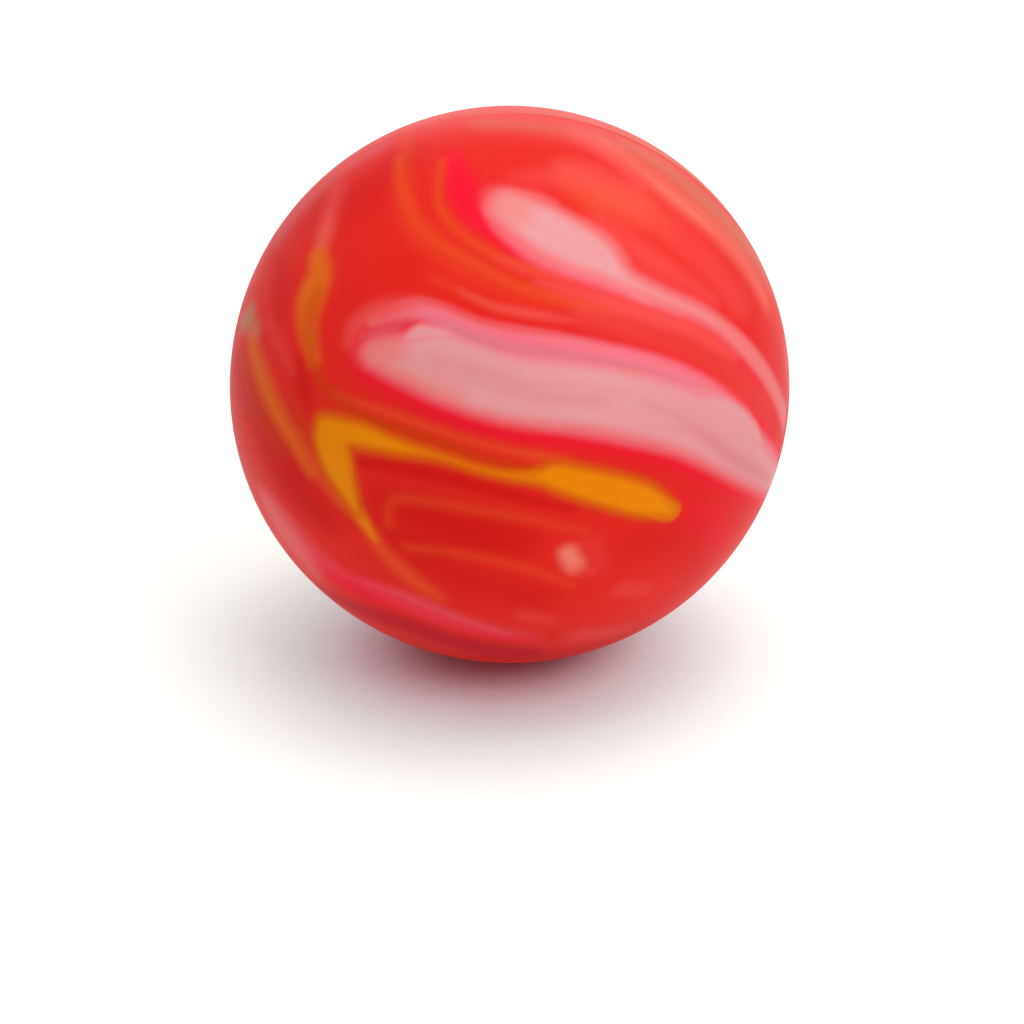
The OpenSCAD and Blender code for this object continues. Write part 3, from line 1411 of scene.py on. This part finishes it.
FRONT_WISPS = (
    # Round the main ribbon
    Wisp(Dye.CORAL, ((-33, 26.5, 0.8), (-32, 29.5, 1.6), (-29, 32, 2), (-25, 33.6, 2.2),
                     (-19, 35.2, 1)), 4, 0.8),
    Wisp(Dye.CORAL, ((-19, 36, 0.8), (-12, 34.6, 0.7), (-5, 32, 0.6), (2, 30.4, 0.6),
                     (9, 29.7, 0.3)), 1.6, 0.65),
    Wisp(Dye.BLUSH, ((-29, 25, 1.5), (-24.5, 25.2, 2.8), (-21, 26, 1.2)), 6, 0.65),
    Wisp(Dye.BLUSH, ((-25, 23, 2), (-18, 20.5, 2), (-10, 18.5, 1.5)), 4, 0.35),
    Wisp(Dye.MAUVE, ((-24, 32, 0), (-19, 33, 0.6), (-15, 32.4, 0.8), (-12, 31.4, 0.5)), 2, 0.28),
    Wisp(Dye.MAUVE, ((-15, 32.4, 0.2), (-11, 31, 0.7), (-7, 29.3, 0.9), (0, 27.4, 0.9),
                     (8, 26.3, 0.8), (20, 24, 0.6), (29, 21.3, 0.4), (39, 17.2, 0)), 1.8, 0.6),
    Wisp(Dye.MAUVE, ((-30, 28, 0.2), (-26, 29.4, 0.8), (-22.6, 30.5, 0.8),
                     (-19, 32.2, 0.2)), 2.4, 0.42),
    Wisp(Dye.PALE, ((-20, 28.4, 0.8), (-17, 29.8, 1.5), (-12, 29.4, 1)), 2.2, 0.9),
    Wisp(Dye.PALE, ((38, 15, 0.6), (44, 12.4, 1.6), (50, 8.3, 2.1), (55, 3.5, 1.9),
                    (59, -1, 1)), 2.4, 0.95),
    Wisp(Dye.PALE, ((8, 14.6, 0.3), (19, 11.6, 0.8), (29, 8, 0.3)), 2.2, 0.5),
    Wisp(Dye.PALE, ((30, 20.3, 0.3), (42, 14.6, 1), (51, 7.6, 1)), 2.2, 0.6),
    Wisp(Dye.CORAL, ((43, 18.6, 0.2), (50, 12.8, 1), (56, 5, 1)), 3.5, 0.6),
    Wisp(Dye.MAUVE, ((-14, 24, 1), (-4, 22, 1.6), (6, 18.6, 1.4), (18, 17.2, 0.4)), 4, 0.28),
    Wisp(Dye.MAUVE, ((26, 15.6, 0), (34, 11.5, 0.8), (40, 7, 1.2), (48, 0, 1.4), (57, -7.5, 1.6),
                     (66, -15, 1)), 4, 0.45),
    Wisp(Dye.CORAL, ((15, 34, 3), (30, 29.5, 4), (45, 22, 4.5), (58, 9, 4)), 5, 0.4),
    Wisp(Dye.CORAL, ((-10, 38, 0.2), (-3, 35, 0.6), (5, 33.5, 0.8), (13, 32, 0.2)), 2.2, 0.8),
    Wisp(Dye.ROSE, ((4, 13.4, 0.2), (18, 9.8, 0.8), (30, 5.6, 0.3)), 2.6, 0.25),
    # Round the upper ribbon
    Wisp(Dye.BLUSH, ((-3, 58, 3), (2, 54.5, 3)), 5, 0.5),
    Wisp(Dye.BLUSH, ((0, 60, 0.3), (5, 58.8, 1), (10, 57, 0.4)), 3, 0.55),
    Wisp(Dye.BLUSH, ((16, 53.2, 0.2), (21, 48.6, 1), (24.5, 44, 0.9)), 2.6, 0.4),
    Wisp(Dye.ROSE, ((-5.4, 55.4, 0.2), (-3.6, 52.8, 0.9), (0, 50, 0.6)), 3.4, 0.4),
    Wisp(Dye.PALE, ((21, 39.8, 0.4), (27, 37, 1.5), (34, 34.7, 1.4), (43, 30.6, 0.8)), 2.6, 0.5),
    Wisp(Dye.CORAL, ((-3, 44.6, 0.3), (4, 41.8, 0.8), (11, 39.6, 0.3)), 3, 0.5),
    Wisp(Dye.BLUSH, ((23, 41, 0.2), (28, 38.4, 1.2), (34, 35.4, 1.5), (40, 32.7, 1.5),
                     (49, 27.4, 1.4)), 3, 0.3),
    Wisp(Dye.BLUSH, ((44, 30.8, 0.3), (52, 24.7, 1.5), (60, 16.8, 1.8), (68, 6, 1.8),
                     (74, -4, 1)), 3, 0.85),
    Wisp(Dye.CRIMSON, ((-15, 72, 1), (-12.5, 65, 3), (-9.5, 58, 3.4), (-4, 51, 2.2), (3, 45.5, 1.5),
                       (12, 41, 1.2), (24, 37, 0.8)), 5, 1.0),
    Wisp(Dye.ROSE, ((-4.5, 52, 0), (-1, 49.2, 0.8), (5, 44.6, 1.1), (12, 41.6, 1.2),
                    (20, 38.6, 1.2), (28, 35.4, 0.9), (36, 32, 0.2)), 2.6, 0.6),
    Wisp(Dye.CORAL, ((6, 40, 0.5), (14, 37.5, 1.2), (22, 34.7, 1.8), (30, 31.8, 2.2),
                     (38, 28.8, 2.2), (50, 21.6, 1.8)), 5, 0.95),
    Wisp(Dye.ORANGE, ((-30, 80, 1.5), (-27.5, 70, 2.5), (-25, 60, 2.6), (-21, 52, 3),
                      (-14, 46.5, 3), (-4, 41, 2.6), (8, 37, 2.2), (20, 35, 1.4)), 4, 0.3),
    # This orange run and the salmon run below it are partly the rubber's colour and partly a
    # painted soft highlight, where the key light is reflected.
    Wisp(Dye.ORANGE, ((13, 63, 1), (17.5, 58.5, 2.5), (24, 57.5, 4), (31, 55.5, 4),
                      (37, 51, 2)), 9, 0.45),
    Wisp(Dye.SALMON, ((14, 66, 2), (22, 60, 4), (30, 57, 4)), 10, 0.3),
    Wisp(Dye.CORAL, ((2, 63.5, 1.5), (10, 64, 3), (20, 65, 4), (32, 56, 5), (44, 45, 5),
                     (54, 33, 4)), 8, 0.45),
    Wisp(Dye.CORAL, ((20, 52, 2), (28, 46, 3.4), (36, 40.5, 3), (46, 34.5, 2)), 7, 0.65),
    # Upper and right edge. The tan runs along the top and right limb are partly the rubber's colour
    # and partly painted sheen of grazing light.
    Wisp(Dye.CORAL, ((19, 79, 3), (27, 72, 3), (33, 63, 3)), 6, 0.65),
    Wisp(Dye.TAN, ((-8, 84, 3), (8, 82, 3), (24, 79, 3), (36, 74, 2)), 8, 0.32),
    Wisp(Dye.SALMON, ((29, 73, 1), (38, 64, 2.6), (46, 57, 2.8), (55, 49, 1.4)), 6, 0.6),
    Wisp(Dye.TAN, ((34, 78, 1.5), (46, 69, 3.6), (59, 57.5, 4.4), (70, 46, 3.4),
                   (76, 36, 1)), 11, 0.68),
    Wisp(Dye.CORAL, ((62, 8, 2.4), (61, 2, 1.6)), 7, 0.4),
    Wisp(Dye.ROSE, ((80, 14, 3.5), (83, 2, 3)), 9, 0.35),
    # Left side. The broad deep red runs here are partly the rubber's colour and partly painted
    # shade on the side away from the light, and the mauve run along the upper left limb is partly
    # painted sheen.
    Wisp(Dye.DEEP_AND_SHADE, ((-64, 50, 5), (-53, 58, 7), (-38, 62, 8), (-30, 70, 5)), 14, 0.65),
    Wisp(Dye.MAUVE, ((-66, 50, 3), (-60, 60, 3), (-50, 71, 3), (-38, 79, 2)), 9, 0.3),
    Wisp(Dye.TAN, ((-68, 27, 2.5), (-63, 25.5, 2)), 5, 0.7),
    Wisp(Dye.DEEP_AND_SHADE, ((-68, 46, 3), (-60, 42, 4), (-56, 35, 3), (-55, 29, 1)), 9, 0.65),
    Wisp(Dye.SALMON, ((-45, 47.5, 1.8), (-45.2, 51.5, 2), (-45.6, 55, 0.6)), 6, 0.42),
    Wisp(Dye.CORAL, ((-45.4, 51, 2), (-46, 57, 2.6), (-47, 63, 2)), 8, 0.6),
    Wisp(Dye.CORAL, ((-58, 28.5, 1), (-52, 23.5, 1.4), (-47.5, 19, 0.6)), 5, 0.38),
    Wisp(Dye.RUST, ((-42.6, 37, 1.2), (-44, 31, 2), (-43, 25.5, 1.4)), 4, 0.45),
    Wisp(Dye.RUST, ((-43, 25, 0.8), (-40, 19.8, 1.3), (-36.5, 16.2, 1.3),
                    (-31, 14.6, 0.6)), 3, 0.6),
    Wisp(Dye.RUST, ((-70, 18, 2), (-64, 12, 3), (-57, 6, 3), (-50, 1, 2)), 6, 0.45),
    Wisp(Dye.DEEP_AND_SHADE, ((-45, 21, 1), (-43.5, 16.5, 2), (-42, 12.5, 0.6)), 6, 0.75),
    Wisp(Dye.RUST, ((-48, 13.5, 0.5), (-44, 8.8, 1.4), (-41, 4, 1)), 4, 0.55),
    Wisp(Dye.DEEP_AND_SHADE, ((-72, 14, 5), (-58, 5, 6), (-47, -6, 6), (-38, -12, 3)), 10, 0.75),
    # Round the hook
    Wisp(Dye.ORANGE, ((-35, 16.2, 0.5), (-22, 13.8, 0.8), (-10, 10.8, 0.8), (0, 8.4, 0.8),
                      (9, 6.4, 0.5)), 2.6, 0.55),
    Wisp(Dye.AMBER, ((-33.4, 6.4, 2), (-32.4, 2, 1.8), (-31.4, -2, 1)), 1.5, 1.0),
    Wisp(Dye.AMBER, ((22, -2, 3.2), (28, -5.3, 3), (32.2, -8, 2.2)), 1.5, 1.0),
    Wisp(Dye.AMBER, ((-4, 4.3, 0.8), (2, 3.5, 1.2), (6, 3.4, 2), (9.5, 3, 2.8)), 2, 1.0),
    Wisp(Dye.ORANGE, ((0, 8.3, 0.5), (6, 7.1, 0.9), (11, 6, 0.6)), 2.5, 0.7),
    Wisp(Dye.ORANGE, ((-44, 6, 1), (-40.5, 1, 1.4), (-35.5, -5, 1.6), (-30, -9, 1.4)), 3, 0.7),
    Wisp(Dye.AMBER, ((-33, -1, 2), (-30.9, -6, 1.7), (-28.9, -9.5, 1.2),
                     (-26.6, -13.2, 0.4)), 2.6, 0.85),
    Wisp(Dye.ORANGE, ((-31, -7, 1), (-27.9, -11.1, 1.8), (-25, -15.8, 1.6), (-18.7, -22.3, 1.8),
                      (-14, -26, 1)), 4.5, 0.75),
    Wisp(Dye.RUST, ((-6, 7, 0.3), (1, 5.5, 0.6), (6.5, 4.9, 0.3)), 1.4, 0.8),
    # Partly the rubber's deep red, partly painted shade below the hook.
    Wisp(Dye.DEEP_AND_SHADE, ((-29, 3.5, 1.2), (-21, 4, 1.6), (-10, 2.4, 1.6), (2, -0.6, 1.4),
                    (12, -3.6, 0.6)), 3.5, 0.75),
    # Lower half, darker towards the floor: its deep red and wine runs are partly the rubber's
    # colour and partly painted shade.
    Wisp(Dye.BLUSH, ((-59, -16, 2), (-54, -21, 5), (-49.5, -27, 5), (-46, -33, 2)), 9, 0.6),
    Wisp(Dye.DEEP_AND_SHADE, ((-36, -6, 3), (-26, -10, 4), (-14, -14, 4)), 8, 0.6),
    Wisp(Dye.CRIMSON, ((-50, -22, 1), (-43, -26.5, 3.5), (-37, -29, 4.5), (-29, -29.5, 4),
                       (-20, -31, 2.6), (-10, -35, 2.2), (3, -40, 1.2)), 5, 0.9),
    Wisp(Dye.ROSE, ((-32, -26.6, 0.4), (-24, -27.2, 1.4), (-17, -29.4, 1.8), (-9, -33, 1.6),
                    (0, -37.5, 1)), 4, 0.3),
    # Painted shade along the bottom, where the floor's shadow darkens the ball, partly the rubber's
    # own dark crimson.
    Wisp(Dye.WINE_AND_SHADE, ((-44, -42, 3), (-34, -40, 4), (-22, -39.5, 4), (-12, -43.5, 4),
                    (4, -48, 3)), 6, 0.85),
    Wisp(Dye.DEEP_AND_SHADE, ((-4, -51, 4), (14, -53, 4), (30, -50, 4)), 10, 0.7),
    Wisp(Dye.DEEP_AND_SHADE, ((-24, -4, 3), (-8, -8, 5.5), (2, -10, 3.5)), 9, 0.7),
    Wisp(Dye.CORAL, ((15.5, -12, 1.5), (17, -17, 1.5)), 6, 0.3),
    Wisp(Dye.DEEP_AND_SHADE, ((-18, -16, 3), (-6, -20, 4), (6, -25, 3)), 8, 0.5),
    Wisp(Dye.CRIMSON, ((36, -8, 3), (44, -15, 4), (48, -24, 4)), 8, 0.4),
    Wisp(Dye.DEEP_AND_SHADE, ((26, -14, 3), (38, -18, 5), (44, -30, 5)), 12, 0.4),
    Wisp(Dye.CORAL, ((23, -26, 2.2), (28, -28, 2)), 4, 0.4),
    Wisp(Dye.CORAL, ((3, -30.5, 2), (8, -33, 1.5)), 5, 0.4),
    Wisp(Dye.CORAL, ((15, -41, 3), (24, -44, 3)), 6, 0.45),
    Wisp(Dye.CORAL, ((13, -18, 1.6), (16, -18.8, 1)), 3, 0.5),
)

REAR_STRIPS = (
    Strip("rear_pale_ribbon", "pale_rubber", Dye.PALE, 2.4, 0.93,
          (CRIMSON_HALO, Bleed(Dye.ROSE, 1.4, 0.6, (-0.4, -0.9)))),
    Strip("rear_rose_fringe", "rose_rubber", Dye.ROSE, 1.5, 0.95),
    Strip("rear_amber_ribbon", "amber_rubber", Dye.AMBER, 1.7, 1.0, (Bleed(Dye.RUST, 1.3, 0.5),)),
    Strip("rear_salmon_band", "salmon_rubber", Dye.SALMON, 3.4, 0.8),
    Strip("rear_ochre_streak", "ochre_rubber", Dye.OCHRE, 2.2, 0.8),
    Strip("rear_veins", "orange_rubber", Dye.ORANGE, 1.3, 0.7),
)

REAR_WISPS = (
    # Round the pale ribbon
    Wisp(Dye.MAUVE, ((-30, 1.5, 1), (-10, -2.5, 1.1), (10, -11.5, 1.1), (28, -17, 0.8)), 1.6, 0.5),
    Wisp(Dye.MAUVE, ((30, -12, 1.6), (48, -10, 1.6), (60, -2, 1.2)), 4, 0.4),
    Wisp(Dye.BLUSH, ((-60, -6, 2), (-46, 2, 3)), 4, 0.5),
    Wisp(Dye.CRIMSON, ((-20, -18, 4), (-4, -22, 5), (14, -26, 4)), 6, 0.7),
    Wisp(Dye.DEEP_AND_SHADE, ((10, 5, 3), (30, 6, 3), (50, 10, 3)), 6, 0.4),
    # Along the rim, where the front's runs go on, partly colour and partly painted sheen and shade
    # as on the front.
    Wisp(Dye.TAN, ((-38, 80, 1.5), (-52, 70, 3), (-65, 58, 3.4), (-74, 46, 2.4),
                   (-80, 36, 0.6)), 11, 0.6),
    Wisp(Dye.ROSE, ((-84, 14, 2.5), (-82, 5, 2), (-78, 2, 0.5)), 9, 0.35),
    Wisp(Dye.TAN, ((12, 88, 1), (-8, 88, 2), (-24, 84, 2.4), (-38, 79, 2)), 9, 0.32),
    Wisp(Dye.MAUVE, ((68.5, 52, 2), (61, 61, 2), (49.5, 70, 2), (37, 77.5, 1)), 9, 0.3),
    Wisp(Dye.DEEP_AND_SHADE, ((66, 52, 3), (54, 60, 4), (40, 68, 3)), 14, 0.55),
    # Round the amber ribbon
    Wisp(Dye.ORANGE, ((-10, 41, 2), (8, 35, 2.5), (26, 28, 2.5), (40, 27, 2)), 5, 0.5),
    Wisp(Dye.CORAL, ((-40, 44, 4), (-20, 50, 5), (0, 50, 4)), 8, 0.4),
    Wisp(Dye.TAN, ((70, 30, 4), (66, 44, 4)), 8, 0.5),
    # Left side and lower half
    Wisp(Dye.RUST, ((-70, 24, 2), (-62, 30, 3)), 6, 0.4),
    Wisp(Dye.DEEP_AND_SHADE, ((-60, 8, 4), (-48, 14, 4), (-30, 15, 3)), 8, 0.4),
    Wisp(Dye.ORANGE, ((-50, -30, 3), (-34, -35, 3), (-12, -34, 2.5)), 6, 0.4),
    Wisp(Dye.SALMON, ((62, -38, 2), (68, -28, 2)), 5, 0.5),
    Wisp(Dye.CORAL, ((30, -45, 4), (46, -40, 4)), 8, 0.35),
    Wisp(Dye.CRIMSON, ((-10, -52, 6), (14, -50, 6)), 10, 0.6),
)


def main() -> None:
    """Build the ball, dress it and set it on its stage."""
    logging.basicConfig(level=logging.INFO, format="%(name)s: %(message)s")
    bpy.context.scene.view_settings.view_transform = "Standard"
    ball = Ball.from_frame()
    marbling = MarblingGroup().build()
    slots = {s.slot for s in FRONT_STRIPS + REAR_STRIPS} | {SHELL_SLOT}
    materials = {slot: MarbledRubber(slot=slot).build(marbling) for slot in sorted(slots)}

    for half in (
        HalfBall(ball, Side.FRONT, FRONT_STRIPS, FRONT_WISPS),
        HalfBall(ball, Side.REAR, REAR_STRIPS, REAR_WISPS),
    ):
        half.build()
        half.dress(materials)
    seam = SeamCement(ball)
    seam.dress(seam.build(), Cement().build())

    Stage().build()
    ProductCamera().build(ball)


if __name__ == "__main__":
    main()
